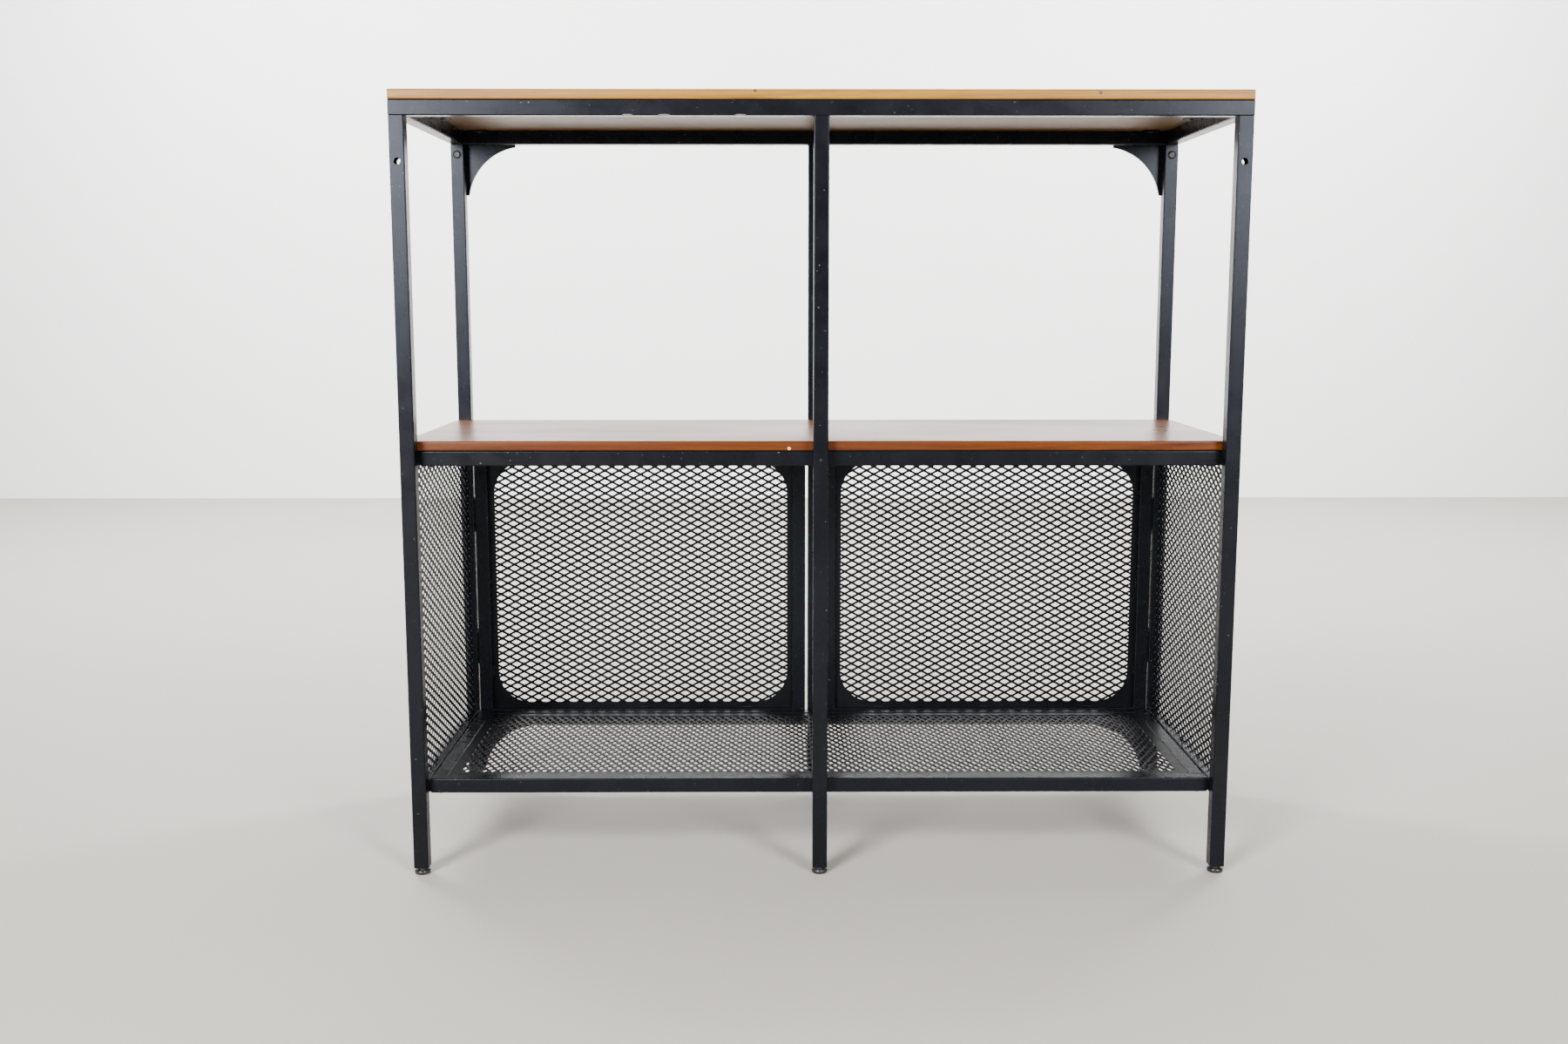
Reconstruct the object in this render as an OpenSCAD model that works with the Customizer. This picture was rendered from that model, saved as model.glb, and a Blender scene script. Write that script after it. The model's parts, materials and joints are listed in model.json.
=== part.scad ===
// Open steel-tube cabinet: two wood boards, expanded-metal panels and two hinged mesh doors.
// Origin: centre of the footprint at floor level. +X to the right seen from the open side,
// +Y towards the door side, +Z up. All sizes in millimetres.

/* [Overall] */
// Width over the steel frame
frame_w = 1000; // [850:10:1250]
// Depth over the steel frame, without what stands proud on the door side
frame_d = 360; // [300:5:450]
// Height to the top of the top board, feet screwed fully in
total_h = 944; // [800:1:1200]

/* [Tube] */
// Outside width of the square tube
tube = 18; // [15:1:25]
// Wall of the square tube
tube_wall = 1.2; // [1:0.1:2]
// Outer corner radius of the tube
tube_r = 1.5; // [1:0.1:2]

/* [Levels and boards] */
// Height of the underside of the middle shelf frame
shelf_level = 505.5; // [400:0.5:600]
// Height of the underside of the bottom shelf frame
base_level = 99; // [80:0.5:150]
// Thickness of both wood boards
board_t = 12; // [10:1:22]
// Rounding along the long edges of the boards
board_r = 2.5; // [1:0.5:4]

/* [Doors] */
// Gap between a door and the centre post
post_gap = 3.5; // [2:0.5:6]
// Gap between a door and its leg, where the hinge leaves lie
hinge_gap = 1.8; // [1.7:0.1:4]
// Gap between the top of a door and the shelf frame's level
door_top_gap = 4.5; // [2:0.5:8]
// Height of one hinge
hinge_h = 46; // [36:1:60]
// Hinge distance from the lower and upper ends of the door
hinge_inset = 105; // [70:1:130]

/* [Expanded metal] */
// Long way of one mesh opening, centre to centre
mesh_long = 20.2; // [12:0.1:30]
// Short way of one mesh opening, centre to centre
mesh_short = 10.8; // [6:0.1:16]
// Width of one strand
strand = 3; // [1:0.1:3.5]
// Thickness of the sheet
sheet_t = 1.5; // [1:0.1:2]
// How many times the real pitch the openings and strands are drawn
mesh_coarse = 3; // [2:1:5]
// Corner radius of the mesh window in a door
door_window_r = 45; // [20:1:60]
// Flat border between a door tube and its mesh window
door_border = 8; // [6:1:15]
// Corner radius of the mesh window in the bottom shelf
base_window_r = 3; // [1:1:20]
// Flat border between a bottom shelf tube and its mesh window
base_border = 12; // [6:1:20]

/* [Corner plates] */
// Radius of the hollow quarter arc
plate_arc = 78; // [50:1:90]
// Length of a corner plate's arm past the inner edge of the tube
plate_arm = 68; // [40:1:75]
// Least width of a corner plate between its arc and the tube
plate_lip = 1.8; // [1:0.1:6]
// Thickness of a corner plate
plate_t = 3; // [2:0.5:4]
// Height of the lower end of a low corner plate
low_plate_end = 20; // [15:1:30]

/* [Feet] */
// Height of a foot below the leg, screwed fully in
foot_h = 9; // [8:0.5:14]
// Widest radius of a foot
foot_r = 9.8; // [8:0.1:12]
// Radius of the foot's threaded stud
stud_r = 4; // [3:0.5:5]

/* [Fasteners and clearances] */
// Radius of the wall-anchor holes in the open-side legs
anchor_r = 4; // [3:0.5:5]
// Distance from the wall-anchor holes down from the top of the top board
anchor_drop = 81.5; // [60:0.5:120]
// Shank radius of the machine screws
bolt_r = 2.5; // [2:0.5:3]
// Radius of a button head
head_r = 5.5; // [4:0.5:6.5]
// Height of a button head
head_h = 2; // [1.5:0.5:2.5]
// Radial clearance of a screw in a plain hole
bolt_play = 0.2; // [0.1:0.05:0.5]
// Radial clearance of a hinge pin and of a foot stud
running_play = 0.05; // [0.02:0.01:0.1]
// Gap between the boards or shelf frames and the legs
leg_gap = 1; // [0.5:0.5:2]
// Gap between the shelf frames and the side rails
side_gap = 2; // [1:0.5:3]

/* [Hidden] */
$fn = 48;
eps = 0.01;
steel = [0.10, 0.10, 0.12];
mesh_steel = [0.13, 0.13, 0.15];
bolt_black = [0.06, 0.06, 0.07];
top_wood = [0.80, 0.62, 0.36];
shelf_wood = [0.62, 0.36, 0.20];
foot_black = [0.05, 0.05, 0.05];

// What stands furthest proud: a nut on a corner plate on the door side, the feet on the open side
proud = plate_t + head_h;
foot_over = max(0, foot_r - tube / 2);
y_open = -(frame_d + proud - foot_over) / 2;
y_door = y_open + frame_d;
y_mid = (y_open + y_door) / 2;
x_out = frame_w / 2;
x_in = x_out - tube;
leg_mid = x_out - tube / 2;
inner_d = frame_d - 2 * tube;
bore_w = tube - 2 * tube_wall;
top_level = total_h - board_t - tube;
anchor_z = total_h - anchor_drop;

// Middle and bottom shelf frames: half width and half depth over the tubes
frame_x = x_in - side_gap;
frame_y = inner_d / 2 - leg_gap;

// A spigot is a solid bar that fills the end of a shelf tube
spigot_w = bore_w - 0.6;
spigot_l = 24;
spigot_bolt_x = frame_x - 10.5;
spigot_bolt_l = 11;

// Doors, from the closing edge to the hinge edge
door_x0 = tube / 2 + post_gap;
door_x1 = x_in - hinge_gap;
door_w = door_x1 - door_x0;
door_z0 = base_level + 0.5;
door_h = shelf_level - door_top_gap - door_z0;
door_sheet_set = 6.5;

// Hinges: the pin's axis stands in the middle of the gap, just proud of the door face
leaf_t = 0.8;
leaf_d = 16;
barrel_r = 2.5;
pin_r = 1.5;
pin_head_r = 2.3;
pin_head_h = 0.8;
barrel_gap = 0.3;
leaf_clear = 0.4;
axis_x = x_in - hinge_gap / 2;
axis_y = y_door + 2.2;
leaf_edge = axis_y - barrel_r - leaf_clear;
knuckle_h = (hinge_h - 2 * barrel_gap) / 3;
hinge_z = [door_z0 + hinge_inset - hinge_h / 2 + 3, door_z0 + door_h - hinge_inset - hinge_h / 2 + 3];

// Corner plates: arm length from the outer corner, and the arc's middle from the same corner
plate_w = tube + plate_arm;
arc_in = tube + plate_lip + plate_arc;
low_plate_top = base_level - 1.5;
low_strip = 10;
top_bolt_z = top_level - 14;
low_bolt_z = [low_plate_end + 9, low_plate_top - 12.5];

// Tabs that hold the boards from below
tab_w = 22;
tab_l = 16;
tab_t = 2;
tab_head_r = 3.5;
tab_head_h = 1.5;
tab_screw_r = 2;
tab_screw_in = 9;
tab_corner = 23;
post_screw_r = 1.75;

// Plugs in the leg ends and the studs in them, both short of the lowest plate bolts
plug_h = 14;
stud_l = 15;
foot_pad_h = 6;
foot_neck_r = 6;
foot_rim = 2.2;

// ---- Shared shapes ----

// Draws its children on the right, or mirrored on the left when s is -1
module on_side(s) {
    if (s < 0) mirror([1, 0, 0]) children();
    else children();
}

module tube_section() {
    difference() {
        union() {
            translate([tube_r, 0]) square([tube - 2 * tube_r, tube]);
            translate([0, tube_r]) square([tube, tube - 2 * tube_r]);
            for (x = [tube_r, tube - tube_r], y = [tube_r, tube - tube_r])
                translate([x, y]) circle(tube_r);
        }
        translate([tube_wall, tube_wall]) square(bore_w);
    }
}

module tube_x(len) {
    rotate([90, 0, 90]) linear_extrude(len) tube_section();
}

module tube_y(len) {
    translate([tube, 0, 0]) rotate([90, 0, 180]) linear_extrude(len) tube_section();
}

module tube_z(len) {
    linear_extrude(len) tube_section();
}

module mitre_cut() {
    rotate([0, 0, 45]) translate([-1, 0, -1]) cube([2 * tube, 1.5 * tube, tube + 2]);
}

// Tube along +X with its outer side on the X axis and both ends cut at 45 degrees
module mitred_tube(len) {
    difference() {
        tube_x(len);
        mitre_cut();
        translate([len, 0, 0]) mirror([1, 0, 0]) mitre_cut();
    }
}

// Round hole along Y through everything between y0 and y1
module hole_y(x, z, r, y0, y1) {
    translate([x, y0 - 1, z]) rotate([-90, 0, 0]) cylinder(r = r, h = y1 - y0 + 2);
}

// Button head with a hexagon socket, standing on z = 0
module button_head(r, h) {
    difference() {
        union() {
            cylinder(r = r, h = h * 0.4);
            translate([0, 0, h * 0.4]) cylinder(r1 = r, r2 = r * 0.62, h = h * 0.6);
        }
        translate([0, 0, h * 0.25]) cylinder(r = r * 0.36, h = h, $fn = 6);
    }
}

// Button-head screw: head above z = 0, shank below it
module button_screw(shank, len, r, h) {
    button_head(r, h);
    translate([0, 0, -len]) cylinder(r = shank, h = len + h * 0.2);
}

// True where a point lies inside a rectangle with rounded corners
function in_window(x, y, hw, hh, r) =
    abs(x) < hw && abs(y) < hh
    && (abs(x) < hw - r || abs(y) < hh - r || norm([abs(x) - hw + r, abs(y) - hh + r]) < r);

// Flat sheet centred on the origin, with a field of diamond openings inside a rounded window
module expanded_sheet(w, h, border, r, pitch_x, pitch_y) {
    hw = w / 2 - border;
    hh = h / 2 - border;
    a = mesh_coarse * pitch_x / 2;
    b = mesh_coarse * pitch_y / 2;
    k = 1 - mesh_coarse * strand / 2 * norm([1 / a, 1 / b]);
    nx = ceil(hw / a);
    ny = ceil(hh / b);
    linear_extrude(sheet_t) difference() {
        square([w, h], center = true);
        for (i = [-nx:nx], j = [-ny:ny]) {
            x = i * a;
            y = j * b;
            whole = in_window(abs(x) + a * k, y, hw, hh, r) && in_window(x, abs(y) + b * k, hw, hh, r);
            if ((i + j) % 2 == 0 && whole)
                translate([x, y]) polygon([[a * k, 0], [0, b * k], [-a * k, 0], [0, -b * k]]);
        }
    }
}

// ---- Boards ----

// Board along X with rounded long edges, underside on z = 0
module board(depth) {
    rotate([90, 0, 90]) linear_extrude(frame_w) {
        translate([-depth / 2 + board_r, 0]) square([depth - 2 * board_r, board_t]);
        translate([-depth / 2, board_r]) square([depth, board_t - 2 * board_r]);
        for (y = [-1, 1], z = [board_r, board_t - board_r])
            translate([y * (depth / 2 - board_r), z]) circle(board_r);
    }
}

// Puts its children at the six tabs of a board: x_face and y_face are the inner faces of the tubes
module at_tabs(x_face, y_face) {
    for (s = [-1, 1]) {
        translate([s * x_face, y_mid, 0]) rotate([0, 0, s > 0 ? 180 : 0]) children();
        for (e = [-1, 1])
            translate([s * (x_face - tab_corner), y_mid + e * y_face, 0]) rotate([0, 0, -90 * e]) children();
    }
}

module at_board_tabs() {
    translate([0, 0, total_h - board_t]) at_tabs(x_in, inner_d / 2) children();
    translate([0, 0, shelf_level + tube]) at_tabs(frame_x - tube, frame_y - tube) children();
}

module pilot_holes() {
    at_board_tabs() translate([tab_l / 2, 0, -1]) cylinder(r = tab_screw_r + 0.05, h = tab_screw_in + 1.5);
}

module top_board() {
    color(top_wood) difference() {
        translate([-x_out, y_mid, total_h - board_t]) board(frame_d);
        pilot_holes();
    }
}

module shelf_board() {
    color(shelf_wood) difference() {
        translate([-x_out, y_mid, shelf_level + tube]) board(2 * frame_y);
        pilot_holes();
    }
}

module board_tabs() {
    color(steel) at_board_tabs() translate([0, -tab_w / 2, -tab_t]) difference() {
        cube([tab_l, tab_w, tab_t]);
        translate([tab_l / 2, tab_w / 2, -1]) cylinder(r = tab_screw_r + bolt_play, h = tab_t + 2);
    }
}

module board_tab_screws() {
    color(bolt_black) at_board_tabs() translate([tab_l / 2, 0, -tab_t]) mirror([0, 0, 1])
        button_screw(tab_screw_r, tab_t + tab_screw_in, tab_head_r, tab_head_h);
}

// ---- Top frame: four mitred tubes ----

module top_rail_open() {
    color(steel) translate([-x_out, y_open, top_level]) mitred_tube(frame_w);
}

module top_rail_door() {
    color(steel) translate([x_out, y_door, top_level]) rotate([0, 0, 180]) mitred_tube(frame_w);
}

module top_rail_side(s) {
    color(steel) on_side(s) translate([x_out, y_open, top_level]) rotate([0, 0, 90]) mitred_tube(frame_d);
}

// ---- Legs and centre posts ----

module leg_open(s) {
    color(steel) on_side(s) difference() {
        translate([x_in, y_open, foot_h]) tube_z(top_level - foot_h);
        hole_y(leg_mid, anchor_z, anchor_r, y_open, y_open + tube);
    }
}

module leg_door(s) {
    color(steel) on_side(s) difference() {
        translate([x_in, y_door - tube, foot_h]) tube_z(top_level - foot_h);
        for (z = concat([top_bolt_z], low_bolt_z))
            hole_y(leg_mid, z, bolt_r + bolt_play, y_door - tube, y_door);
    }
}

module post(y) {
    color(steel) difference() {
        translate([-tube / 2, y, foot_h]) tube_z(top_level - foot_h);
        hole_y(0, shelf_level + tube / 2, post_screw_r + bolt_play, y, y + tube);
    }
}

module post_screws() {
    reach = tube + leg_gap + tube_wall + 2;
    color(bolt_black) for (y = [y_open, y_door - reach])
        translate([0, y, shelf_level + tube / 2]) rotate([-90, 0, 0]) cylinder(r = post_screw_r, h = reach);
}

// ---- Side frames ----

module side_rail(s, level) {
    color(steel) on_side(s) translate([x_in, y_open + tube, level]) tube_y(inner_d);
}

module side_mesh(s) {
    h = shelf_level - base_level - tube;
    color(mesh_steel) on_side(s) translate([leg_mid - sheet_t / 2, y_mid, base_level + tube + h / 2])
        rotate([90, 0, 90]) expanded_sheet(inner_d, h, 2, 1, mesh_long, mesh_short);
}

// ---- Middle and bottom shelf frames ----

// Long tube of a shelf frame on the side e of the middle, -1 for the open side
module shelf_rail_long(level, e) {
    y = e < 0 ? y_mid - frame_y : y_mid + frame_y - tube;
    color(steel) difference() {
        translate([-frame_x, y, level]) tube_x(2 * frame_x);
        for (s = [-1, 1])
            translate([s * spigot_bolt_x, y + tube / 2, level - 1])
                cylinder(r = bolt_r + bolt_play, h = tube_wall + 2);
        if (level == shelf_level)
            hole_y(0, level + tube / 2, post_screw_r + bolt_play, y, y + tube);
    }
}

module shelf_rail_short(level, s) {
    color(steel) on_side(s)
        translate([frame_x - tube, y_mid - frame_y + tube, level]) tube_y(2 * (frame_y - tube));
}

// Puts its children at the middle of the eight spigot bolts, on the underside of the shelf tubes
module at_spigots() {
    for (level = [base_level, shelf_level], s = [-1, 1], e = [-1, 1])
        translate([0, y_mid + e * (frame_y - tube / 2), level]) on_side(s) translate([spigot_bolt_x, 0, 0])
            children();
}

module rail_spigots() {
    color(steel) at_spigots() difference() {
        translate([x_in - spigot_l - spigot_bolt_x, -spigot_w / 2, (tube - spigot_w) / 2])
            cube([spigot_l, spigot_w, spigot_w]);
        cylinder(r = bolt_r + running_play, h = tube);
    }
}

module spigot_bolts() {
    color(bolt_black) at_spigots() mirror([0, 0, 1]) button_screw(bolt_r, spigot_bolt_l, head_r - 1, head_h);
}

module base_mesh() {
    w = 2 * (frame_x - tube);
    d = 2 * (frame_y - tube);
    color(mesh_steel) translate([0, y_mid, base_level + tube - 2 * sheet_t])
        expanded_sheet(w, d, base_border, base_window_r, mesh_short, mesh_long);
}

// ---- Corner plates with their bolts ----

module corner_plate_top(s) {
    color(steel) on_side(s) difference() {
        translate([x_out - plate_w, y_door, top_level + tube - plate_w]) cube([plate_w, plate_t, plate_w]);
        hole_y(x_out - arc_in, top_level + tube - arc_in, plate_arc, y_door, y_door + plate_t);
        hole_y(leg_mid, top_bolt_z, bolt_r + bolt_play, y_door, y_door + plate_t);
    }
}

module corner_plate_low(s) {
    arc_z = low_plate_top - low_strip - plate_arc;
    color(steel) on_side(s) difference() {
        translate([x_out - plate_w, y_door, low_plate_end]) cube([plate_w, plate_t, low_plate_top - low_plate_end]);
        hole_y(x_out - arc_in, arc_z, plate_arc, y_door, y_door + plate_t);
        for (z = low_bolt_z)
            hole_y(leg_mid, z, bolt_r + bolt_play, y_door, y_door + plate_t);
    }
}

// Puts its children at the six plate bolts, on the inner face of the door-side legs
module at_plate_bolts() {
    for (s = [-1, 1], z = concat([top_bolt_z], low_bolt_z))
        translate([s * leg_mid, y_door - tube, z]) children();
}

module plate_bolts() {
    color(bolt_black) at_plate_bolts() rotate([90, 0, 0])
        button_screw(bolt_r, tube + plate_t + head_h * 0.6, head_r, head_h);
}

module plate_nuts() {
    color(bolt_black) at_plate_bolts() translate([0, tube + plate_t, 0]) rotate([-90, 0, 0]) difference() {
        cylinder(r1 = head_r, r2 = head_r * 0.8, h = head_h);
        translate([0, 0, -1]) cylinder(r = bolt_r + running_play, h = head_h * 0.75 + 1);
    }
}

// ---- Doors ----

// Puts a flat drawn door upright in its opening: X stays, Y becomes height
module in_doorway(s) {
    on_side(s) translate([door_x0, y_door, door_z0]) rotate([90, 0, 0]) children();
}

module door_bottom_rail(s) {
    color(steel) in_doorway(s) mitred_tube(door_w);
}

module door_top_rail(s) {
    color(steel) in_doorway(s) translate([door_w, door_h, 0]) rotate([0, 0, 180]) mitred_tube(door_w);
}

module door_closing_stile(s) {
    color(steel) in_doorway(s) translate([0, door_h, 0]) rotate([0, 0, -90]) mitred_tube(door_h);
}

module door_hinge_stile(s) {
    color(steel) in_doorway(s) translate([door_w, 0, 0]) rotate([0, 0, 90]) mitred_tube(door_h);
}

module door_mesh(s) {
    color(mesh_steel) in_doorway(s) translate([door_w / 2, door_h / 2, door_sheet_set])
        expanded_sheet(door_w - 2 * tube, door_h - 2 * tube, door_border, door_window_r, mesh_long, mesh_short);
}

// ---- Hinges ----

// One leaf with the barrel pieces listed in knuckles; x0 is the leaf's face towards the tube's side
module hinge_leaf(x0, knuckles) {
    difference() {
        union() {
            translate([x0, y_door - leaf_d, 0]) cube([leaf_t, leaf_edge - y_door + leaf_d, hinge_h]);
            for (k = knuckles) translate([0, 0, k * (knuckle_h + barrel_gap)]) {
                translate([x0, leaf_edge - eps, 0]) cube([leaf_t, axis_y - leaf_edge + eps, knuckle_h]);
                translate([axis_x, axis_y, 0]) cylinder(r = barrel_r, h = knuckle_h);
            }
        }
        translate([axis_x, axis_y, -1]) cylinder(r = pin_r + running_play, h = hinge_h + 2);
    }
}

module hinge_leg_leaves() {
    color(steel) for (s = [-1, 1], z = hinge_z)
        on_side(s) translate([0, 0, z]) hinge_leaf(x_in - leaf_t, [0, 2]);
}

module hinge_door_leaves(s) {
    color(steel) for (z = hinge_z)
        on_side(s) translate([0, 0, z]) hinge_leaf(door_x1, [1]);
}

module hinge_pins() {
    color(bolt_black) for (s = [-1, 1], z = hinge_z) translate([s * axis_x, axis_y, z]) {
        translate([0, 0, -pin_head_h]) cylinder(r = pin_head_r, h = pin_head_h);
        cylinder(r = pin_r, h = hinge_h);
        translate([0, 0, hinge_h]) cylinder(r = pin_head_r, h = pin_head_h);
    }
}

// ---- Feet ----

module foot_inserts() {
    color(foot_black) for (x = [-leg_mid, 0, leg_mid], y = [y_open + tube / 2, y_door - tube / 2])
        translate([x, y, foot_h]) difference() {
            translate([-bore_w / 2, -bore_w / 2, 0]) cube([bore_w, bore_w, plug_h]);
            translate([0, 0, -1]) cylinder(r = stud_r + running_play, h = plug_h + 2);
        }
}

module foot(x, y) {
    color(foot_black) translate([x, y, 0]) {
        rotate_extrude() {
            square([foot_r - foot_rim, foot_pad_h]);
            translate([0, foot_rim]) square([foot_r, foot_pad_h - 2 * foot_rim]);
            for (z = [foot_rim, foot_pad_h - foot_rim]) translate([foot_r - foot_rim, z]) circle(foot_rim);
        }
        translate([0, 0, foot_pad_h - 1]) cylinder(r = foot_neck_r, h = foot_h - foot_pad_h + 1);
        cylinder(r = stud_r, h = foot_h + stud_l);
    }
}

foot_y_open = y_open + tube / 2;
foot_y_door = y_door - tube / 2;
post_y_door = y_door - tube;

top_board();
shelf_board();
board_tabs();
board_tab_screws();
top_rail_open();
top_rail_door();
top_rail_side(-1);  // top_rail_left
top_rail_side(1);  // top_rail_right
leg_open(-1);  // leg_open_left
leg_open(1);  // leg_open_right
leg_door(-1);  // leg_door_left
leg_door(1);  // leg_door_right
post(y_open);  // post_open
post(post_y_door);  // post_door
post_screws();
side_rail(-1, shelf_level);  // side_mid_rail_left
side_rail(1, shelf_level);  // side_mid_rail_right
side_rail(-1, base_level);  // side_low_rail_left
side_rail(1, base_level);  // side_low_rail_right
side_mesh(-1);  // side_mesh_left
side_mesh(1);  // side_mesh_right
shelf_rail_long(shelf_level, -1);  // shelf_rail_open
shelf_rail_long(shelf_level, 1);  // shelf_rail_door
shelf_rail_short(shelf_level, -1);  // shelf_rail_left
shelf_rail_short(shelf_level, 1);  // shelf_rail_right
shelf_rail_long(base_level, -1);  // base_rail_open
shelf_rail_long(base_level, 1);  // base_rail_door
shelf_rail_short(base_level, -1);  // base_rail_left
shelf_rail_short(base_level, 1);  // base_rail_right
base_mesh();
rail_spigots();
spigot_bolts();
corner_plate_top(-1);  // corner_plate_top_left
corner_plate_top(1);  // corner_plate_top_right
corner_plate_low(-1);  // corner_plate_low_left
corner_plate_low(1);  // corner_plate_low_right
plate_bolts();
plate_nuts();
door_hinge_stile(-1);  // door_left_hinge_stile
door_closing_stile(-1);  // door_left_closing_stile
door_top_rail(-1);  // door_left_top_rail
door_bottom_rail(-1);  // door_left_bottom_rail
door_mesh(-1);  // door_left_mesh
hinge_door_leaves(-1);  // door_left_hinge_leaves
door_hinge_stile(1);  // door_right_hinge_stile
door_closing_stile(1);  // door_right_closing_stile
door_top_rail(1);  // door_right_top_rail
door_bottom_rail(1);  // door_right_bottom_rail
door_mesh(1);  // door_right_mesh
hinge_door_leaves(1);  // door_right_hinge_leaves
hinge_leg_leaves();
hinge_pins();
foot_inserts();
foot(-leg_mid, foot_y_open);  // foot_open_left
foot(0, foot_y_open);  // foot_open_middle
foot(leg_mid, foot_y_open);  // foot_open_right
foot(-leg_mid, foot_y_door);  // foot_door_left
foot(0, foot_y_door);  // foot_door_middle
foot(leg_mid, foot_y_door);  // foot_door_right
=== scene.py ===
"""Looks for the open steel-tube stand: powder-coated tubes, expanded metal, lacquered boards."""

import json
import math
import random

import bmesh
import bpy
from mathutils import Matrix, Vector


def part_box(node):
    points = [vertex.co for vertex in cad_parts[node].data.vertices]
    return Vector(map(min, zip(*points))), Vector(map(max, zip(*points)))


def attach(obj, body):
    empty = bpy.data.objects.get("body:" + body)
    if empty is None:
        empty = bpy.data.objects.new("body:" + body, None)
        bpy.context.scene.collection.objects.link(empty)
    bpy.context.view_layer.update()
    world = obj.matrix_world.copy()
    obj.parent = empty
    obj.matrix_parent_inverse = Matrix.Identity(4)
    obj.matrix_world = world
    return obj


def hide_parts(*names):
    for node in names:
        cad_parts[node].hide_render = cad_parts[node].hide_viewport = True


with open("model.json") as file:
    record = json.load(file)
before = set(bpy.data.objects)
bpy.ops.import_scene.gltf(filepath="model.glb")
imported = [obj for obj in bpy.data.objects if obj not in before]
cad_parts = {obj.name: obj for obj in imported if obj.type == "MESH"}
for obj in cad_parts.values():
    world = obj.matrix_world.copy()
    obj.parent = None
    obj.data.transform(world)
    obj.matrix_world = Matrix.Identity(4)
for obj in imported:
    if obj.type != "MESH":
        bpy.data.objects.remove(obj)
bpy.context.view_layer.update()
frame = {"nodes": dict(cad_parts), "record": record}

# Sizes in metres, the same as the part's own
STRAND = 0.003
MESH_LONG = 0.0202
MESH_SHORT = 0.0108
DOOR_BORDER = 0.008
DOOR_CORNER = 0.045
BASE_BORDER = 0.012
BASE_CORNER = 0.003

# Sizes in metres of the look only: half a strand's thickness, how far a strand leans out of
# the sheet's plane, and half the thickness of the border round the openings
SHEET_HALF = 0.00055
STRAND_TILT = 0.0005
BORDER_HALF = 0.0012
CORNER_STEPS = 20

# Welds, in metres: dots that hold the side panels, beads on tubes and in the doors
TACK_RADIUS = 0.0017
TACK_STRETCH = 1.4
TACK_HEIGHTS = (0.151, 0.251, 0.356, 0.455)
TACK_SHARES = (0.25, 0.5, 0.75)
RAIL_BEAD_RADIUS = 0.0009
TOP_BEAD_RADIUS = 0.0008
DOOR_BEAD_RADIUS = 0.0010
DOOR_BEAD_HALF = 0.006
DOOR_BEAD_SHARES = (0.15, 0.5, 0.85)

# Colours are linear, without alpha
STEEL_TONE = (0.0016, 0.0017, 0.0026)
MESH_TONE = (0.0014, 0.0014, 0.0018)
CHIP_TONE = (0.07, 0.066, 0.062)
WORN_TONE = (0.16, 0.13, 0.12)
COAT_TINT = (0.80, 0.86, 1.0, 1.0)
DARK_NICK = (0.05, 0.025, 0.012)
PALE_NICK = (0.62, 0.42, 0.20)
# Painted shade: dark brown mixed into the boards' undersides
UNDERSIDE_PAINTED_SHADE = (0.026, 0.012, 0.007)
# Painted sheen: lighter, paler tones mixed into the boards' top faces
TOP_FACE_PAINTED_SHEEN = (0.26, 0.125, 0.022)
SHELF_FACE_PAINTED_SHEEN = (0.15, 0.050, 0.014)

# Grain of each board: dark bands, middle, light bands, patches
TOP_TONES = [
    (0.120, 0.042, 0.0010), (0.215, 0.090, 0.0025), (0.270, 0.125, 0.0060), (0.170, 0.066, 0.0015),
]
SHELF_TONES = [
    (0.028, 0.0045, 0.0001), (0.064, 0.0135, 0.0003), (0.092, 0.0215, 0.0006), (0.044, 0.0080, 0.0002),
]

FLOOR_TONE = (0.44, 0.41, 0.37)
WALL_TONE = (0.86, 0.86, 0.86)

rng = random.Random(7)


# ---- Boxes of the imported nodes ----


def node_box(name):
    low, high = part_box(name)
    return Vector(low), Vector(high)


# ---- Material helpers ----


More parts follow.
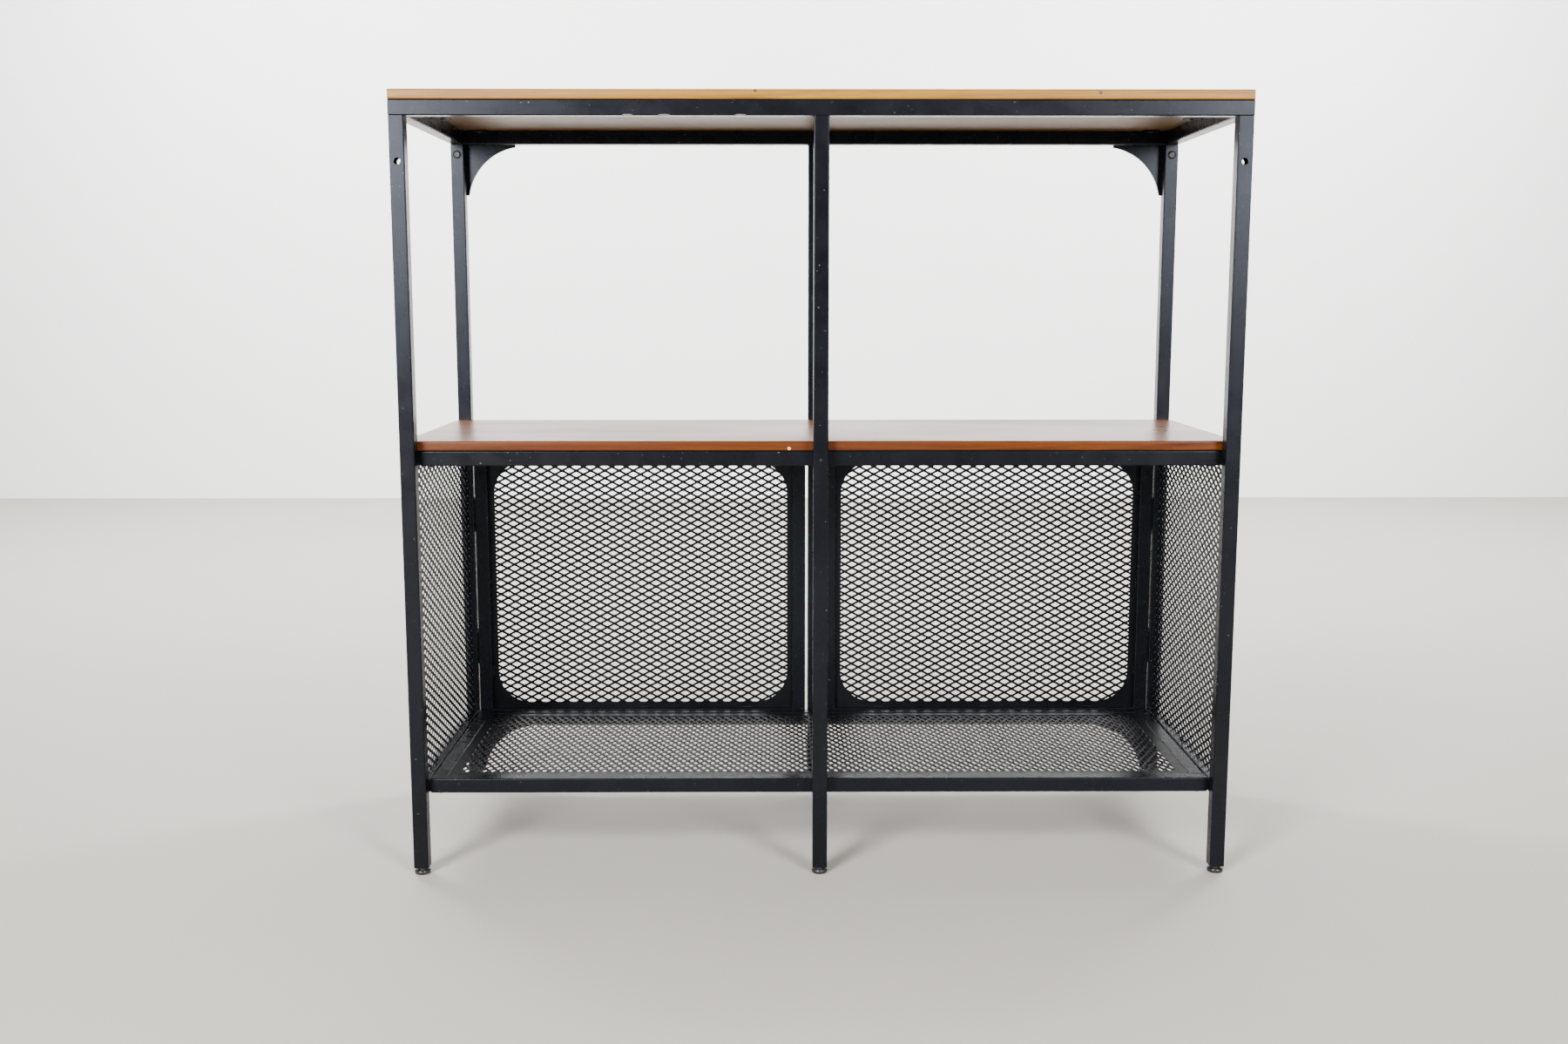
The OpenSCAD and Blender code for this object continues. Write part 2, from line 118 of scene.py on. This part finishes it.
class Nodes:
    """One material's node tree, with short calls to add and join nodes."""

    def __init__(self, name):
        self.material = bpy.data.materials.new(name)
        self.material.use_nodes = True
        self.tree = self.material.node_tree
        self.shader = self.tree.nodes["Principled BSDF"]
        self.place = self.tree.nodes.new("ShaderNodeTexCoord").outputs["Object"]

    def link(self, a, b):
        self.tree.links.new(a, b)

    def scaled(self, scale):
        mapping = self.tree.nodes.new("ShaderNodeMapping")
        mapping.inputs["Scale"].default_value = scale
        self.link(self.place, mapping.inputs["Vector"])
        return mapping.outputs["Vector"]

    def noise(self, scale, detail=2.0, vector=None, distortion=0.0):
        node = self.tree.nodes.new("ShaderNodeTexNoise")
        node.inputs["Scale"].default_value = scale
        node.inputs["Detail"].default_value = detail
        node.inputs["Distortion"].default_value = distortion
        self.link(vector or self.place, node.inputs["Vector"])
        return node.outputs["Fac"]

    def ramp(self, value, stops):
        node = self.tree.nodes.new("ShaderNodeValToRGB")
        ramp = node.color_ramp
        while len(ramp.elements) < len(stops):
            ramp.elements.new(0.5)
        for element, (position, colour) in zip(ramp.elements, stops):
            element.position = position
            element.color = (*colour, 1.0)
        self.link(value, node.inputs["Fac"])
        return node.outputs["Color"]

    def spread(self, value, low, high, to_low, to_high):
        node = self.tree.nodes.new("ShaderNodeMapRange")
        node.inputs["From Min"].default_value = low
        node.inputs["From Max"].default_value = high
        node.inputs["To Min"].default_value = to_low
        node.inputs["To Max"].default_value = to_high
        self.link(value, node.inputs["Value"])
        return node.outputs["Result"]

    def mix(self, factor, a, b):
        node = self.tree.nodes.new("ShaderNodeMix")
        node.data_type = "RGBA"
        self.link(factor, node.inputs[0])
        for socket, colour in ((node.inputs[6], a), (node.inputs[7], b)):
            if isinstance(colour, tuple):
                socket.default_value = (*colour, 1.0)
            else:
                self.link(colour, socket)
        return node.outputs[2]

    def near(self, points, radius, scale=(1, 1, 1)):
        """A mask that is 1 inside a small ragged spot at each point."""
        rag = self.noise(700, 2)
        total = None
        for point in points:
            distance = self.tree.nodes.new("ShaderNodeVectorMath")
            distance.operation = "DISTANCE"
            self.link(self.scaled(scale), distance.inputs[0])
            distance.inputs[1].default_value = [p * s for p, s in zip(point, scale)]
            ragged = self.tree.nodes.new("ShaderNodeMath")
            ragged.operation = "MULTIPLY_ADD"
            self.link(rag, ragged.inputs[0])
            ragged.inputs[1].default_value = radius
            self.link(distance.outputs["Value"], ragged.inputs[2])
            spot = self.spread(ragged.outputs[0], radius * 1.5, radius * 1.35, 0, 1)
            if total is None:
                total = spot
                continue
            add = self.tree.nodes.new("ShaderNodeMath")
            add.operation = "MAXIMUM"
            self.link(total, add.inputs[0])
            self.link(spot, add.inputs[1])
            total = add.outputs[0]
        return total

    def bump(self, value, strength, distance):
        node = self.tree.nodes.new("ShaderNodeBump")
        node.inputs["Strength"].default_value = strength
        node.inputs["Distance"].default_value = distance
        self.link(value, node.inputs["Height"])
        self.link(node.outputs["Normal"], self.shader.inputs["Normal"])


def powder_coat(name, colour, rough, specks, worn_points=()):
    """Black powder coat: fine texture, slow gloss changes, tiny chips. A higher specks gives fewer chips."""
    n = Nodes(name)
    slow = n.noise(6, 3)
    lighter = tuple(c * 1.8 + 0.0006 for c in colour)
    coat = n.ramp(slow, [(0.35, colour), (0.7, lighter)])
    chips = n.spread(n.noise(260, 3), specks, specks + 0.01, 0, 1)
    coat = n.mix(chips, coat, CHIP_TONE)
    if worn_points:
        coat = n.mix(n.near(worn_points, 0.0011, (0.16, 1, 1)), coat, WORN_TONE)
    n.link(coat, n.shader.inputs["Base Color"])
    n.link(n.spread(n.noise(35, 4), 0.3, 0.7, rough - 0.04, rough + 0.04), n.shader.inputs["Roughness"])
    n.shader.inputs["Specular IOR Level"].default_value = 0.18
    n.shader.inputs["Specular Tint"].default_value = COAT_TINT
    n.bump(n.noise(1500, 2), 0.06, 0.0002)
    return n.material


def lacquered_wood(name, tones, rough, figure, gloss, faces, face_painted_light, marks):
    """Softwood grain along X: growth bands, pores, a few nicks. The underside is painted darker as painted
    shade, and the top face is painted lighter and paler as painted sheen.

    faces holds the heights of the underside and the top; the argument after it holds the colours painted
    there, painted shade for the underside and painted sheen for the top; marks holds the nicks, each as its
    points and its colour.
    """
    n = Nodes(name)
    bands = n.noise(figure, 5, n.scaled((0.9, 9, 22)), 1.4)
    pores = n.noise(30, 6, n.scaled((1.5, 55, 55)), 0.2)
    patches = n.noise(3.0, 3, n.scaled((1, 3, 1)))
    grain = n.ramp(bands, [(0.30, tones[0]), (0.46, tones[1]), (0.56, tones[2]), (0.70, tones[1])])
    grain = n.mix(n.spread(pores, 0.52, 0.72, 0, 0.45), grain, tuple(c * 0.55 for c in tones[0]))
    grain = n.mix(n.spread(patches, 0.45, 0.75, 0, 0.35), grain, tones[3])
    height = n.tree.nodes.new("ShaderNodeSeparateXYZ")
    n.link(n.place, height.inputs[0])
    # Painted shade: the underside and the lowest 1.6 mm of the board are mixed towards a dark brown
    painted_shade_below = n.spread(height.outputs["Z"], faces[0] + 0.0004, faces[0] + 0.0016, 0.72, 0)
    # Painted sheen: the top face is mixed towards a lighter, paler tone
    painted_sheen_above = n.spread(height.outputs["Z"], faces[1] - 0.0009, faces[1] - 0.0003, 0, 0.6)
    grain = n.mix(painted_shade_below, grain, face_painted_light[0])
    grain = n.mix(painted_sheen_above, grain, face_painted_light[1])
    for points, colour in marks:
        grain = n.mix(n.near(points, 0.0022), grain, colour)
    n.link(grain, n.shader.inputs["Base Color"])
    n.link(n.spread(patches, 0.3, 0.75, rough, rough + 0.14), n.shader.inputs["Roughness"])
    n.shader.inputs["Specular IOR Level"].default_value = gloss
    n.bump(pores, 0.12, 0.0004)
    return n.material


def fastener_black():
    n = Nodes("fastener_black_oxide")
    tone = n.ramp(n.noise(220, 3), [(0.35, (0.008, 0.008, 0.009)), (0.75, (0.035, 0.034, 0.033))])
    n.link(tone, n.shader.inputs["Base Color"])
    n.shader.inputs["Metallic"].default_value = 0.6
    n.link(n.spread(n.noise(90, 3), 0.3, 0.7, 0.30, 0.46), n.shader.inputs["Roughness"])
    n.bump(n.noise(900, 2), 0.15, 0.0002)
    return n.material


def black_plastic():
    n = Nodes("foot_black_plastic")
    tone = n.ramp(n.noise(120, 3), [(0.3, (0.006, 0.006, 0.007)), (0.8, (0.022, 0.021, 0.020))])
    n.link(tone, n.shader.inputs["Base Color"])
    n.link(n.spread(n.noise(60, 3), 0.3, 0.7, 0.22, 0.34), n.shader.inputs["Roughness"])
    n.bump(n.noise(1200, 2), 0.2, 0.0002)
    return n.material


def plain_stage(name, colour):
    n = Nodes(name)
    tone = n.ramp(n.noise(4, 3), [(0.2, tuple(c * 0.97 for c in colour)), (0.8, colour)])
    n.link(tone, n.shader.inputs["Base Color"])
    n.shader.inputs["Roughness"].default_value = 0.75
    return n.material


# ---- Mesh helpers ----


def new_piece(name, bm, material, smooth=False):
    mesh = bpy.data.meshes.new(name)
    bm.to_mesh(mesh)
    bm.free()
    piece = bpy.data.objects.new(name, mesh)
    bpy.context.collection.objects.link(piece)
    mesh.materials.append(material)
    for face in mesh.polygons:
        face.use_smooth = smooth
    return piece


def window_loops(half_w, half_h, border, radius):
    """Two matching loops: a rounded window and the rectangle round it."""
    inner, outer = [], []
    in_w, in_h = half_w - border, half_h - border
    cx, cy = in_w - radius, in_h - radius
    to_corner = math.atan2(half_h - cy, half_w - cx)
    steps = [math.pi / 2 * i / CORNER_STEPS for i in range(CORNER_STEPS + 1)] + [to_corner]
    for quarter in range(4):
        flip_x = 1 if quarter in (0, 3) else -1
        flip_y = 1 if quarter in (0, 1) else -1
        for angle in sorted(steps, reverse=flip_x != flip_y):
            c, s = math.cos(angle), math.sin(angle)
            reach = min((half_w - cx) / max(c, 1e-6), (half_h - cy) / max(s, 1e-6))
            inner.append((flip_x * (cx + radius * c), flip_y * (cy + radius * s)))
            outer.append((flip_x * (cx + reach * c), flip_y * (cy + reach * s)))
    return inner, outer


def add_border(bm, half_w, half_h, border, radius):
    """Flat border plate with a rounded window, thicker than the lattice that it holds."""
    inner, outer = window_loops(half_w, half_h, border, radius)
    count = len(inner)
    rings = []
    for points, z in ((outer, 1), (inner, 1), (inner, -1), (outer, -1)):
        rings.append([bm.verts.new((x, y, z * BORDER_HALF)) for x, y in points])
    for a, b in zip(rings, rings[1:] + rings[:1]):
        for i in range(count):
            j = (i + 1) % count
            bm.faces.new((a[i], a[j], b[j], b[i]))


def cell_rings(pitch_x, pitch_y):
    """One diamond cell: strand centre line round it, and its opening with eased corners."""
    a, b = pitch_x / 2, pitch_y / 2
    k = 1 - STRAND / 2 * math.hypot(1 / a, 1 / b)
    long_x = pitch_x > pitch_y
    corner, tip = (0.97, 0.93) if long_x else (0.93, 0.97)
    half = [(a, 0), (a / 2, b / 2), (0, b), (-a / 2, b / 2)]
    outer = half + [(-x, -y) for x, y in half]
    eased = [corner, 1.01, tip, 1.01, corner, 1.01, tip, 1.01]
    inner = [(x * k * e, y * k * e) for (x, y), e in zip(outer, eased)]
    return outer, inner


def add_lattice(bm, half_w, half_h, pitch_x, pitch_y):
    """Expanded metal over a rectangle. Strands lean out of the sheet's plane, as real ones do."""
    outer, inner = cell_rings(pitch_x, pitch_y)
    a, b = pitch_x / 2, pitch_y / 2
    long_x = pitch_x > pitch_y
    nx, ny = math.ceil(half_w / a) + 1, math.ceil(half_h / b) + 1

    def clamp(x, y):
        return max(-half_w, min(half_w, x)), max(-half_h, min(half_h, y))

    for i in range(-nx, nx + 1):
        for j in range(-ny, ny + 1):
            if (i + j) % 2:
                continue
            cx, cy = i * a, j * b
            if abs(cx) - a >= half_w or abs(cy) - b >= half_h:
                continue
            rings = []
            for side in (1, -1):
                rim = [bm.verts.new((*clamp(cx + x, cy + y), side * SHEET_HALF)) for x, y in outer]
                lean = [-(y / b if long_x else x / a) * STRAND_TILT for x, y in outer]
                hole = [
                    bm.verts.new((*clamp(cx + x, cy + y), side * SHEET_HALF + z))
                    for (x, y), z in zip(inner, lean)
                ]
                rings.append((rim, hole))
            (front_rim, front_hole), (back_rim, back_hole) = rings
            for k in range(8):
                m = (k + 1) % 8
                bm.faces.new((front_rim[k], front_rim[m], front_hole[m], front_hole[k]))
                bm.faces.new((front_hole[k], front_hole[m], back_hole[m], back_hole[k]))
                bm.faces.new((back_hole[k], back_hole[m], back_rim[m], back_rim[k]))
    bmesh.ops.remove_doubles(bm, verts=bm.verts, dist=1e-6)
    bmesh.ops.dissolve_degenerate(bm, edges=bm.edges, dist=1e-6)


def expanded_panel(name, node, body, facing, border, radius, pitch_x, pitch_y, material):
    """Expanded-metal panel that stands for a CAD sheet of the kind facing: door, side or base."""
    low, high = node_box(node)
    size = high - low
    flat = {"door": (size.x, size.z), "side": (size.y, size.z), "base": (size.x, size.y)}[facing]
    bm = bmesh.new()
    add_lattice(bm, flat[0] / 2, flat[1] / 2, pitch_x, pitch_y)
    if border:
        add_border(bm, flat[0] / 2, flat[1] / 2, border, radius)
    centre = (low + high) / 2
    for v in bm.verts:
        x, y, z = v.co
        placed = {"door": (x, -z, y), "side": (z, x, y), "base": (x, y, z)}[facing]
        v.co = centre + Vector(placed)
    bmesh.ops.recalc_face_normals(bm, faces=bm.faces)
    piece = new_piece(name, bm, material)
    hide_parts(node)
    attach(piece, body)
    return piece


# ---- Welds ----


def add_blob(bm, centre, radius, flat):
    """Small uneven weld dot."""
    made = bmesh.ops.create_icosphere(bm, subdivisions=2, radius=radius)
    for v in made["verts"]:
        wobble = 1 + rng.uniform(-0.12, 0.12)
        v.co = Vector([c * f * wobble for c, f in zip(v.co, flat)]) + centre


def add_bead(bm, start, end, radius):
    """Weld bead: overlapping dots from start to end."""
    steps = max(2, int((end - start).length / (radius * 0.9)))
    for i in range(steps + 1):
        add_blob(bm, start.lerp(end, i / steps), radius * rng.uniform(0.85, 1.1), (1, 1, 1))


def add_top_bead(bm, x, low, high):
    """Bead where the top of a leg or post meets the top frame, along its side at x."""
    start = Vector((x, low.y + 0.003, high.z))
    end = Vector((x, high.y - 0.003, high.z))
    add_bead(bm, start, end, TOP_BEAD_RADIUS)


def frame_welds(material):
    """Tack welds of the side meshes, and beads where rails meet legs and the top frame."""
    bm = bmesh.new()
    for side in ("left", "right"):
        low, high = node_box("side_mesh_" + side)
        x = (low.x + high.x) / 2
        inward = 1 if x < 0 else -1
        for z in TACK_HEIGHTS:
            for y in (low.y + 0.0006, high.y - 0.0006):
                add_blob(bm, Vector((x + inward * 0.0012, y, z)), TACK_RADIUS, (1, 1, TACK_STRETCH))
        for share in TACK_SHARES:
            y = low.y + (high.y - low.y) * share
            for z in (low.z + 0.0006, high.z - 0.0006):
                add_blob(bm, Vector((x + inward * 0.0012, y, z)), TACK_RADIUS, (1, TACK_STRETCH, 1))
        for rail in ("side_mid_rail_", "side_low_rail_"):
            low, high = node_box(rail + side)
            inner_x = high.x if x < 0 else low.x
            for y in (low.y, high.y):
                for z in (low.z, high.z) if rail == "side_low_rail_" else (low.z,):
                    start = Vector((inner_x - inward * 0.0035, y, z))
                    end = Vector((inner_x - inward * 0.0145, y, z))
                    add_bead(bm, start, end, RAIL_BEAD_RADIUS)
    for leg in ("leg_open_left", "leg_open_right", "leg_door_left", "leg_door_right"):
        low, high = node_box(leg)
        inner_x = high.x if low.x < 0 else low.x
        add_top_bead(bm, inner_x, low, high)
    for post in ("post_open", "post_door"):
        low, high = node_box(post)
        for x in (low.x, high.x):
            add_top_bead(bm, x, low, high)
    piece = new_piece("frame_weld_beads", bm, material, smooth=True)
    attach(piece, "frame")


def door_welds(side, material):
    """Tack welds that hold the mesh border in a door."""
    bm = bmesh.new()
    low, high = node_box("door_" + side + "_mesh")
    y = (low.y + high.y) / 2 - 0.0014
    for share in DOOR_BEAD_SHARES:
        x = low.x + (high.x - low.x) * share
        for z in (low.z + 0.0004, high.z - 0.0004):
            start = Vector((x - DOOR_BEAD_HALF, y, z))
            end = Vector((x + DOOR_BEAD_HALF, y, z))
            add_bead(bm, start, end, DOOR_BEAD_RADIUS)
        z = low.z + (high.z - low.z) * share
        for x in (low.x + 0.0004, high.x - 0.0004):
            start = Vector((x, y, z - DOOR_BEAD_HALF))
            end = Vector((x, y, z + DOOR_BEAD_HALF))
            add_bead(bm, start, end, DOOR_BEAD_RADIUS)
    piece = new_piece("door_" + side + "_weld_beads", bm, material, smooth=True)
    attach(piece, "door_" + side)


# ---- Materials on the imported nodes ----

top_low, top_high = node_box("top_board")
shelf_low, shelf_high = node_box("shelf_board")
rail_low = node_box("top_rail_open")[0]

# Wear that the photo shows, each mark by how far along X it is
top_marks = [
    ([(-0.0769, top_low.y, top_high.z - 0.002), (0.3213, top_low.y, top_low.z + 0.008)], DARK_NICK),
]
shelf_marks = [
    ([(-0.0376, shelf_low.y, shelf_low.z + 0.003)], PALE_NICK),
    ([(-0.2087, shelf_low.y, shelf_high.z - 0.002)], DARK_NICK),
]
rail_worn = [(x, rail_low.y, rail_low.z + 0.0005) for x in (-0.224, -0.182, -0.094)]

steel = powder_coat("steel_powder_coat", STEEL_TONE, 0.28, 0.735)
steel_worn = powder_coat("steel_powder_coat_worn", STEEL_TONE, 0.28, 0.735, rail_worn)
mesh_steel = powder_coat("expanded_metal_coat", MESH_TONE, 0.34, 0.76)
fastener = fastener_black()
plastic = black_plastic()
top_wood = lacquered_wood(
    "top_board_pine",
    tones=TOP_TONES,
    rough=0.36,
    figure=3.2,
    gloss=0.35,
    faces=(top_low.z, top_high.z),
    face_painted_light=(UNDERSIDE_PAINTED_SHADE, TOP_FACE_PAINTED_SHEEN),
    marks=top_marks,
)
shelf_wood = lacquered_wood(
    "shelf_board_stained",
    tones=SHELF_TONES,
    rough=0.26,
    figure=2.6,
    gloss=0.22,
    faces=(shelf_low.z, shelf_high.z),
    face_painted_light=(UNDERSIDE_PAINTED_SHADE, SHELF_FACE_PAINTED_SHEEN),
    marks=shelf_marks,
)

SLOT_MATERIAL = {
    "powder_coated_steel": steel,
    "expanded_metal": mesh_steel,
    "top_wood": top_wood,
    "shelf_wood": shelf_wood,
    "black_fastener": fastener,
    "black_plastic": plastic,
}


def dress_nodes():
    """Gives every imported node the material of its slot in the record; the worn rail has its own."""
    for entry in frame["record"]["subparts"]:
        node = frame["nodes"][entry["node"]]
        node.data.materials.clear()
        node.data.materials.append(SLOT_MATERIAL[entry["material_slot"]])
    frame["nodes"]["top_rail_open"].data.materials[0] = steel_worn


# ---- Stage, light and camera ----

STAGE_SIZE = 14.0
WALL_Y = 3.4
ROOM_LIGHT = 0.15

# Camera, placed as the photo's own: metres, radians and millimetres
CAMERA_PLACE = (-0.050, -2.0018, 0.7080)
CAMERA_DIP = 0.13877
CAMERA_TURN = -0.00635
CAMERA_LENS = 35.34
CAMERA_SENSOR = 36.0
CAMERA_SHIFT = (-0.0029, -0.0072)


def add_plane(name, size, place, turn, material):
    bm = bmesh.new()
    bmesh.ops.create_grid(bm, x_segments=1, y_segments=1, size=size / 2)
    piece = new_piece(name, bm, material)
    piece.location = place
    piece.rotation_euler = turn


def add_light(name, place, target, width, height, power):
    data = bpy.data.lights.new(name, "AREA")
    data.shape = "RECTANGLE"
    data.size = width
    data.size_y = height
    data.energy = power
    light = bpy.data.objects.new(name, data)
    light.location = place
    light.rotation_euler = (Vector(target) - Vector(place)).to_track_quat("-Z", "Y").to_euler()
    bpy.context.collection.objects.link(light)


def build_stage():
    floor = plain_stage("pale_floor", FLOOR_TONE)
    wall = plain_stage("pale_wall", WALL_TONE)
    add_plane("stage_floor", STAGE_SIZE, (0, 0, 0), (0, 0, 0), floor)
    add_plane("stage_wall", STAGE_SIZE, (0, WALL_Y, 0), (math.pi / 2, 0, 0), wall)
    middle = (0, 0, 0.45)
    add_light("light_left", (-1.70, -3.0, 1.65), middle, 1.0, 1.8, 330)
    add_light("light_right", (1.80, -3.1, 1.65), middle, 0.9, 1.8, 200)
    add_light("light_wall_left", (-1.8, 1.5, 2.4), (-0.6, WALL_Y, 0.7), 1.6, 0.8, 210)
    add_light("light_wall_right", (1.8, 1.5, 2.4), (0.6, WALL_Y, 0.7), 1.6, 0.8, 210)
    add_light("light_top", (0, 0.4, 3.0), (0, 0, 0), 2.0, 1.2, 30)
    world = bpy.data.worlds.new("soft_room")
    world.use_nodes = True
    background = world.node_tree.nodes["Background"]
    background.inputs["Color"].default_value = (0.95, 0.96, 1.0, 1.0)
    background.inputs["Strength"].default_value = ROOM_LIGHT
    bpy.context.scene.world = world


def build_camera():
    data = bpy.data.cameras.new("camera")
    data.sensor_width = CAMERA_SENSOR
    data.lens = CAMERA_LENS
    data.shift_x, data.shift_y = CAMERA_SHIFT
    data.dof.use_dof = False
    camera = bpy.data.objects.new("camera", data)
    camera.location = CAMERA_PLACE
    camera.rotation_euler = (math.pi / 2 - CAMERA_DIP, 0.0, CAMERA_TURN)
    bpy.context.collection.objects.link(camera)
    bpy.context.scene.camera = camera


dress_nodes()
for which in ("left", "right"):
    expanded_panel(
        "door_" + which + "_expanded_metal", "door_" + which + "_mesh", "door_" + which, "door",
        DOOR_BORDER, DOOR_CORNER, MESH_LONG, MESH_SHORT, mesh_steel,
    )
    expanded_panel(
        "side_" + which + "_expanded_metal", "side_mesh_" + which, "frame", "side",
        0, 0, MESH_LONG, MESH_SHORT, mesh_steel,
    )
    door_welds(which, steel)
expanded_panel(
    "base_expanded_metal", "base_mesh", "frame", "base",
    BASE_BORDER, BASE_CORNER, MESH_SHORT, MESH_LONG, mesh_steel,
)
frame_welds(steel)
build_stage()
build_camera()
